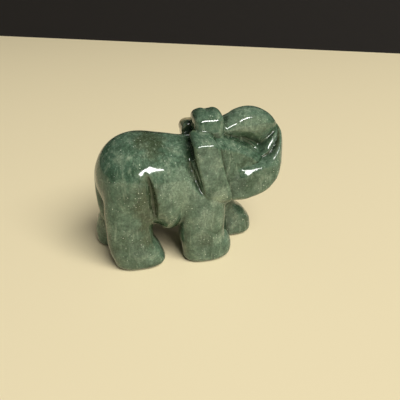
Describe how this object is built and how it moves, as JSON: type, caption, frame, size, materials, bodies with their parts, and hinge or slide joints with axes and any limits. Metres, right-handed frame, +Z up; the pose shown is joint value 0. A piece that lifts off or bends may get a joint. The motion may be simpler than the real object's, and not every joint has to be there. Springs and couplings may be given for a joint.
{
  "type": "carved stone elephant figurine",
  "caption": "Small standing elephant carved from one piece of polished green stone, trunk raised and curled back to its forehead, on flat soles.",
  "frame": {"origin": "centre of the footprint's bounding rectangle, on the plane of the soles", "axes": "+X forwards, from the rump to the trunk; +Y to the animal's left; +Z up"},
  "size_m": [0.052, 0.0206, 0.0405],
  "materials": {
    "green_stone": "high polish, slightly translucent, with fine mica flecks"
  },
  "bodies": {
    "root": {"carved_elephant": "green_stone"}
  },
  "joints": []
}
